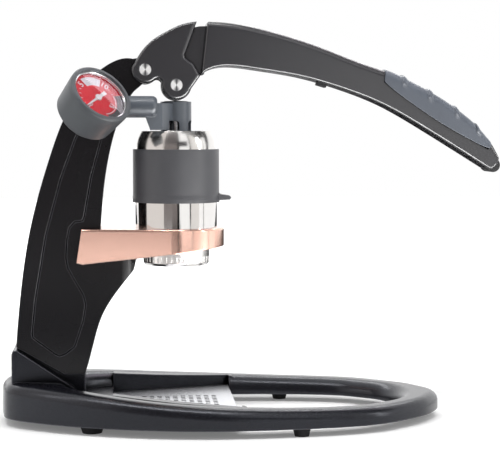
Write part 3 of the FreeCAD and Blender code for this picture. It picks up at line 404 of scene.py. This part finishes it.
def turned_face_painted_glint(name, x, z):
    """Bright steel with a painted highlight in two fans, left and right of its centre, and painted
    grey reflection above and below it, where a turned end face would glint.
    """
    steel = coat(name, (250, 249, 249), (254, 253, 253), 0.002, 0.00015, (0.3, 0.4), 0.000001,
                 metal=0.55)
    nodes = steel.node_tree.nodes
    link = steel.node_tree.links.new
    place = nodes.new("ShaderNodeTexCoord")
    from_axis = nodes.new("ShaderNodeVectorMath")
    from_axis.operation = "MULTIPLY_ADD"
    from_axis.inputs[1].default_value = (1.0, 0.0, 1.0)
    from_axis.inputs[2].default_value = (-x, 0.0, -z)
    link(place.outputs["Object"], from_axis.inputs[0])
    outward = nodes.new("ShaderNodeVectorMath")
    outward.operation = "NORMALIZE"
    link(from_axis.outputs["Vector"], outward.inputs[0])
    split = nodes.new("ShaderNodeSeparateXYZ")
    link(outward.outputs["Vector"], split.inputs["Vector"])
    sideways = nodes.new("ShaderNodeMath")
    sideways.operation = "ABSOLUTE"
    link(split.outputs["X"], sideways.inputs[0])
    # Painted highlight: the face stays bright to left and right of the axis and is painted grey
    # above and below it, in a bow-tie.
    painted_fan_mask = nodes.new("ShaderNodeMapRange")
    painted_fan_mask.inputs["From Min"].default_value = 0.12
    painted_fan_mask.inputs["From Max"].default_value = 0.75
    link(sideways.outputs["Value"], painted_fan_mask.inputs["Value"])
    painted_light = nodes.new("ShaderNodeMix")
    painted_light.data_type = "RGBA"
    painted_light.inputs["A"].default_value = screen(84, 84, 86)
    link(painted_fan_mask.outputs["Result"], painted_light.inputs["Factor"])
    shader = nodes["Principled BSDF"]
    link(shader.inputs["Base Color"].links[0].from_socket, painted_light.inputs["B"])
    link(painted_light.outputs["Result"], shader.inputs["Base Color"])
    return steel


roller_plastic = coat("roller_plastic", (44, 44, 47), (56, 56, 60), 0.006, 0.0004, (0.4, 0.5),
                      0.00001)
dress(lever_paint, "lever_handle", "lever_knuckle")
dress(turned_face_painted_glint("pivot_pin_steel", -0.067, 0.2164), "pivot_pin")
dress(turned_face_painted_glint("roller_pin_steel", -0.048, 0.2071), "roller_pin")
dress(roller_plastic, "roller")
dress(foot_rubber, "handle_end_plug", "handle_stop_pad")


# Grip. Soft rubber moulded over the handle's core, with raised ribs across its back that stop
# the hand from sliding.

grip_rubber = coat("grip_rubber", (78, 84, 95), (90, 97, 108), 0.015, 0.0004, (0.36, 0.46),
                   0.000002, gloss=0.6, edge=0.0002, painted_shade_reach=0.001)
pivot_x = -0.067
pivot_z = 0.2164
grip_back = [(147.7, 0.9), (157.6, -3.2), (182.9, -16.6), (202.0, -30.3), (213.0, -41.8),
             (215.2, -45.6)]
grip_foot = [(146.9, -7.7), (156.6, -15.7), (181.3, -32.6), (203.7, -44.9), (211.8, -48.6),
             (213.1, -49.0)]
grip_half_width = 0.0132
grip_ribs = (0.216, 0.341, 0.487, 0.649)
rib_height = 0.0012
rib_rise = 0.0008
rib_fall = 0.0034
rib_reach_down = 0.0078
grip_groove = 0.0011
grip_end_round = 0.0022


def along(points, share):
    """A point on the smooth line through points, given from the pivot in millimetres."""
    spans = len(points) - 1
    span = min(int(share * spans), spans - 1)
    local = share * spans - span
    before = points[max(span - 1, 0)]
    start, end = points[span], points[span + 1]
    after = points[min(span + 2, spans)]
    place = []
    for a, b, c, d in zip(before, start, end, after):
        place.append(0.5 * (2 * b + (c - a) * local + (2 * a - 5 * b + 4 * c - d) * local ** 2
                            + (3 * b - a - 3 * c + d) * local ** 3))
    return Vector((pivot_x + place[0] / 1000, 0.0, pivot_z + place[1] / 1000))


def grip_section(height, inset):
    """Half of the rubber's cross-section from its lower edge over the shoulder to the middle."""
    half = grip_half_width - inset
    low = inset
    top = height - inset
    shoulder = min(0.0046, 0.62 * (top - low))
    rim = low + grip_groove
    side = [(half - 0.0023, low), (half - 0.0021, low + 0.0001), (half - 0.0021, rim - 0.00005),
            (half - 0.0020, rim), (half - 0.0001, rim), (half, rim + 0.0001),
            (half, rim + 0.0002)]
    for index in range(1, 7):
        side.append((half, rim + 0.0002 + (top - shoulder - rim - 0.0002) * index / 6))
    for index in range(1, 9):
        turn = math.radians(90 * index / 8)
        side.append((half - shoulder * (1 - math.cos(turn)), top - shoulder * (1 - math.sin(turn))))
    for index in range(1, 5):
        share = index / 4
        side.append(((half - shoulder) * (1 - share), top + 0.0003 * math.sin(share * math.pi / 2)))
    return side


def build_grip():
    """The whole rubber: sections set along the back, rounded in at both ends, raised at ribs."""
    stations = 320
    length = sum((along(grip_back, (n + 1) / stations) - along(grip_back, n / stations)).length
                 for n in range(stations))
    rib_places = [along(grip_back, rib) for rib in grip_ribs]
    shares = []
    for n in range(6):
        shares.append((grip_end_round * (1 - math.cos(math.radians(90 * n / 6))),
                       grip_end_round * (1 - math.sin(math.radians(90 * n / 6)))))
    rows = [(reach / length, inset) for reach, inset in shares]
    rows += [(grip_end_round / length + (1 - 2 * grip_end_round / length) * n / stations, 0.0)
             for n in range(stations + 1)]
    rows += [(1 - reach / length, inset) for reach, inset in reversed(shares)]
    mesh = bmesh.new()
    loops = []
    for share, inset in rows:
        back = along(grip_back, share)
        foot = along(grip_foot, share)
        up = (back - foot).normalized()
        height = (back - foot).length
        half = grip_section(height, min(inset, 0.4 * height))
        ring = [(-y, z) for y, z in half] + [(y, z) for y, z in reversed(half[:-1])]
        loop = []
        for y, z in ring:
            depth = height - z + 0.35 * max(0.0, abs(y) - 0.5 * grip_half_width)
            lift = 0.0
            for rib, rib_place in zip(grip_ribs, rib_places):
                away = (back - rib_place).length / (rib_fall if share > rib else rib_rise)
                if away < 1.0:
                    lift = rib_height * (1 - away ** (2.4 if share > rib else 1.2))
            lift *= max(0.0, min(1.0, (rib_reach_down - depth) / 0.0016))
            outward = Vector((0, math.copysign(1, y) if abs(y) > 0.001 else 0, 0))
            outward = (outward * (abs(y) / grip_half_width) ** 3 + up).normalized()
            loop.append(mesh.verts.new(foot + up * z + Vector((0, y, 0)) + outward * lift))
        loops.append(loop)
    for one, other in zip(loops, loops[1:]):
        for index in range(len(one)):
            after = (index + 1) % len(one)
            mesh.faces.new((one[index], one[after], other[after], other[index]))
    mesh.faces.new(reversed(loops[0]))
    mesh.faces.new(loops[-1])
    bmesh.ops.recalc_face_normals(mesh, faces=mesh.faces)
    for face in mesh.faces:
        face.smooth = len(face.verts) == 4
    return finished_piece("grip_moulding", mesh)


grip = build_grip()
grip.data.materials.append(grip_rubber)
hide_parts("handle_grip")
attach(grip, "lever")


# Drip tray. A brushed stainless plate with rows of punched slots, lying on a thin black
# moulded pan that lifts out of the base. The plate's upright faces, slot walls and rim, carry
# painted shade.

tray_steel = coat("tray_steel", (192, 193, 197), (208, 209, 213), 0.02, 0.0003, (0.24, 0.32),
                  0.000001, metal=1.0, gloss=0.5, stretch=(0.2, 8.0, 1.0), edge=0.0003)
pan_plastic = coat("pan_plastic", (18, 18, 20), (26, 26, 28), 0.01, 0.0004, (0.5, 0.6), 0.00002,
                   gloss=0.08)
steel_nodes = tray_steel.node_tree.nodes
steel_link = tray_steel.node_tree.links.new
# Painted shade: faces that stand upright, the slot walls and the plate's rim, turn near black.
facing = steel_nodes.new("ShaderNodeNewGeometry")
split = steel_nodes.new("ShaderNodeSeparateXYZ")
steel_link(facing.outputs["True Normal"], split.inputs["Vector"])
level = steel_nodes.new("ShaderNodeMath")
level.operation = "ABSOLUTE"
steel_link(split.outputs["Z"], level.inputs[0])
painted_slot_shade = steel_nodes.new("ShaderNodeMix")
painted_slot_shade.data_type = "RGBA"
painted_slot_shade.inputs["A"].default_value = screen(14, 14, 15)
steel_link(level.outputs["Value"], painted_slot_shade.inputs["Factor"])
steel_shader = steel_nodes["Principled BSDF"]
steel_link(steel_shader.inputs["Base Color"].links[0].from_socket, painted_slot_shade.inputs["B"])
steel_link(painted_slot_shade.outputs["Result"], steel_shader.inputs["Base Color"])
dress(tray_steel, "drip_plate")
dress(pan_plastic, "drip_pan")


# Studio. A white floor and sky, four soft boxes, and cloths that show only as reflections:
# they give the polished steel its upright bars and the black paint its soft lights.

floor_mesh = bmesh.new()
bmesh.ops.create_grid(floor_mesh, x_segments=8, y_segments=8, size=3.0)
floor = finished_piece("studio_floor", floor_mesh)
floor_paint = bpy.data.materials.new("floor_paint")
floor_paint.use_nodes = True
floor_nodes = floor_paint.node_tree.nodes
floor_link = floor_paint.node_tree.links.new
floor_shader = floor_nodes["Principled BSDF"]
floor_shader.inputs["Base Color"].default_value = (0.86, 0.86, 0.86, 1.0)
floor_shader.inputs["Roughness"].default_value = 0.9
floor_shader.inputs["Specular IOR Level"].default_value = 0.0
glow = floor_nodes.new("ShaderNodeEmission")
glow.inputs["Color"].default_value = (1.0, 1.0, 1.0, 1.0)
path = floor_nodes.new("ShaderNodeLightPath")
seen = floor_nodes.new("ShaderNodeMath")
seen.operation = "MAXIMUM"
floor_link(path.outputs["Is Camera Ray"], seen.inputs[0])
floor_link(path.outputs["Is Glossy Ray"], seen.inputs[1])
seen_too = floor_nodes.new("ShaderNodeMath")
seen_too.operation = "MAXIMUM"
floor_link(seen.outputs["Value"], seen_too.inputs[0])
floor_link(path.outputs["Is Transmission Ray"], seen_too.inputs[1])
spot = floor_nodes.new("ShaderNodeTexCoord")
reach = floor_nodes.new("ShaderNodeVectorMath")
reach.operation = "LENGTH"
floor_link(spot.outputs["Object"], reach.inputs[0])
fade = floor_nodes.new("ShaderNodeMapRange")
fade.interpolation_type = "SMOOTHSTEP"
fade.inputs["From Min"].default_value = 0.2
fade.inputs["From Max"].default_value = 1.0
fade.inputs["To Min"].default_value = 0.16
fade.inputs["To Max"].default_value = 1.0
floor_link(reach.outputs["Value"], fade.inputs["Value"])
glow_level = floor_nodes.new("ShaderNodeMath")
glow_level.operation = "MULTIPLY"
floor_link(seen_too.outputs["Value"], glow_level.inputs[0])
floor_link(fade.outputs["Result"], glow_level.inputs[1])
floor_link(glow_level.outputs["Value"], glow.inputs["Strength"])
floor_sum = floor_nodes.new("ShaderNodeAddShader")
floor_link(floor_shader.outputs["BSDF"], floor_sum.inputs[0])
floor_link(glow.outputs["Emission"], floor_sum.inputs[1])
floor_link(floor_sum.outputs["Shader"], floor_nodes["Material Output"].inputs["Surface"])
floor.data.materials.append(floor_paint)

# The sky lights the object at half strength, is white to the camera and through glass, and
# stands at one and a half in reflections.
sky = bpy.data.worlds.new("studio_sky")
sky.use_nodes = True
bpy.context.scene.world = sky
sky_nodes = sky.node_tree.nodes
sky_link = sky.node_tree.links.new
sky_path = sky_nodes.new("ShaderNodeLightPath")
sky_seen = sky_nodes.new("ShaderNodeMath")
sky_seen.operation = "MAXIMUM"
sky_link(sky_path.outputs["Is Camera Ray"], sky_seen.inputs[0])
sky_link(sky_path.outputs["Is Transmission Ray"], sky_seen.inputs[1])
sky_plain = sky_nodes.new("ShaderNodeMath")
sky_plain.operation = "MULTIPLY"
sky_plain.inputs[1].default_value = 0.5
sky_link(sky_seen.outputs["Value"], sky_plain.inputs[0])
sky_only_mirrored = sky_nodes.new("ShaderNodeMath")
sky_only_mirrored.operation = "SUBTRACT"
sky_only_mirrored.use_clamp = True
sky_link(sky_path.outputs["Is Glossy Ray"], sky_only_mirrored.inputs[0])
sky_link(sky_seen.outputs["Value"], sky_only_mirrored.inputs[1])
sky_mirrored = sky_nodes.new("ShaderNodeMath")
sky_link(sky_only_mirrored.outputs["Value"], sky_mirrored.inputs[0])
sky_link(sky_plain.outputs["Value"], sky_mirrored.inputs[1])
sky_level = sky_nodes.new("ShaderNodeMath")
sky_level.inputs[1].default_value = 0.5
sky_link(sky_mirrored.outputs["Value"], sky_level.inputs[0])
sky_light = sky_nodes["Background"]
sky_light.inputs["Color"].default_value = (1.0, 1.0, 1.0, 1.0)
sky_link(sky_level.outputs["Value"], sky_light.inputs["Strength"])


def soft_box(name, place, aim, width, height, watts):
    """A rectangular studio light that points from its place at a point of the object."""
    lamp = bpy.data.lights.new(name, "AREA")
    lamp.shape = "RECTANGLE"
    lamp.size = width
    lamp.size_y = height
    lamp.energy = watts
    holder = bpy.data.objects.new(name, lamp)
    holder.location = place
    holder.rotation_euler = (Vector(aim) - Vector(place)).to_track_quat("-Z", "Y").to_euler()
    bpy.context.scene.collection.objects.link(holder)


soft_box("light_top", (0.0, -0.35, 1.15), (0, 0, 0.1), 1.5, 0.06, 9.0)
soft_box("light_back", (0.0, 0.8, 0.9), (0, 0, 0.1), 1.5, 0.08, 5.0)
soft_box("light_left", (-1.1, -0.45, 0.7), (-0.03, 0, 0.12), 0.08, 0.9, 2.0)
soft_box("light_right", (1.1, -0.5, 0.6), (-0.03, 0, 0.12), 0.08, 0.9, 3.2)


def cloth_weave(name, tone, strength):
    """The finish of a studio cloth, which gives off its own tone and mirrors nothing."""
    weave = bpy.data.materials.new(name)
    weave.use_nodes = True
    shader = weave.node_tree.nodes["Principled BSDF"]
    shader.inputs["Base Color"].default_value = (0.0, 0.0, 0.0, 1.0)
    shader.inputs["Specular IOR Level"].default_value = 0.0
    shader.inputs["Emission Color"].default_value = screen(*tone)
    shader.inputs["Emission Strength"].default_value = strength
    return weave


def hang(cloth, weave):
    """Sets a cloth in the studio so that only reflections show it."""
    cloth.data.materials.append(weave)
    cloth.visible_camera = False
    cloth.visible_diffuse = False
    cloth.visible_shadow = False
    cloth.visible_transmission = False


cylinder_axis = Vector((-0.048, 0.0, 0.0))


def studio_cloth(name, start, end, low, high, tone, strength=1.0, radius=1.2):
    """An upright cloth round the brew cylinder between two bearings in degrees."""
    mesh = bmesh.new()
    columns = []
    for index in range(7):
        bearing = math.radians(start + (end - start) * index / 6)
        foot = cylinder_axis + Vector((math.cos(bearing), math.sin(bearing), 0)) * radius
        columns.append((mesh.verts.new(foot + Vector((0, 0, low))),
                        mesh.verts.new(foot + Vector((0, 0, high)))))
    for one, other in zip(columns, columns[1:]):
        mesh.faces.new((one[0], other[0], other[1], one[1]))
    hang(finished_piece(name, mesh), cloth_weave(name, tone, strength))


studio_cloth("cloth_by_camera", -126.5, -89.0, 0.03, 0.5, (148, 140, 138))
studio_cloth("cloth_over_camera", -126.5, -89.0, 0.5, 1.1, (118, 112, 112))
studio_cloth("cloth_high", -126.5, -89.0, 1.1, 3.0, (130, 124, 124))
studio_cloth("cloth_edge", -89.0, -83.0, 0.03, 3.0, (20, 17, 17))
studio_cloth("cloth_foot", -103.0, -79.0, -0.1, 0.048, (14, 9, 7), 1.0, 1.1)
studio_cloth("cloth_over_lever", -83.0, -60.0, 0.34, 0.7, (60, 58, 62))
studio_cloth("cloth_strip_right", -54.2, -50.4, 0.045, 3.0, (26, 24, 24))
studio_cloth("cloth_left", -200.0, -126.5, -0.1, 3.0, (248, 242, 238), 1.15)
studio_cloth("cloth_right", -50.4, -25.0, -0.1, 3.0, (248, 245, 242), 1.22)
studio_cloth("cloth_line_right", -11.0, -8.0, -0.1, 3.0, (200, 198, 196))


def laid_cloth(name, left, right, front, back, level, tone, strength=1.0):
    """A cloth spread level, which only shows as a reflection and only from its face. Left and
    right change places for a cloth that faces down."""
    mesh = bmesh.new()
    corners = [(left, front), (right, front), (right, back), (left, back)]
    mesh.faces.new([mesh.verts.new((x, y, level)) for x, y in corners])
    weave = cloth_weave(name, tone, strength)
    weave_nodes = weave.node_tree.nodes
    weave_link = weave.node_tree.links.new
    side = weave_nodes.new("ShaderNodeNewGeometry")
    clear = weave_nodes.new("ShaderNodeBsdfTransparent")
    one_sided = weave_nodes.new("ShaderNodeMixShader")
    weave_link(side.outputs["Backfacing"], one_sided.inputs["Fac"])
    weave_link(weave_nodes["Principled BSDF"].outputs["BSDF"], one_sided.inputs[1])
    weave_link(clear.outputs["BSDF"], one_sided.inputs[2])
    weave_link(one_sided.outputs["Shader"], weave_nodes["Material Output"].inputs["Surface"])
    hang(finished_piece(name, mesh), weave)


laid_cloth("cloth_floor_behind", -1.2, 1.2, 0.25, 2.6, 0.002, (14, 14, 16))
laid_cloth("cloth_floor_front", -0.05, 0.9, -1.1, -0.45, 0.002, (18, 18, 20))
laid_cloth("cloth_floor_post", -0.7, -0.05, -0.7, -0.27, 0.002, (50, 48, 50))
laid_cloth("strip_before_lever", -0.05, 0.35, -0.26, -0.1, 0.04, (255, 255, 255), 18.0)
laid_cloth("dial_dark", 1.3, 0.1, -0.5, 0.165, 0.86, (20, 16, 20))
laid_cloth("dial_glare", 0.65, 0.2, 0.165, 0.4, 0.86, (255, 242, 252), 4.5)

# Camera. A long lens about a metre off, a little above the brew head and left of it.
camera = bpy.data.cameras.new("photo_camera")
camera.sensor_fit = "HORIZONTAL"
camera.sensor_width = 36.0
camera.lens = 108.0
camera_holder = bpy.data.objects.new("photo_camera", camera)
turn_right = math.radians(5.0)
look_down = math.radians(3.79)
camera_looks = Vector((math.sin(turn_right) * math.cos(look_down),
                       math.cos(turn_right) * math.cos(look_down), -math.sin(look_down)))
camera_holder.location = (-0.0834, -0.9304, 0.180)
camera_holder.rotation_euler = camera_looks.to_track_quat("-Z", "Y").to_euler()
bpy.context.scene.collection.objects.link(camera_holder)
bpy.context.scene.camera = camera_holder
bpy.context.scene.view_settings.view_transform = "Standard"
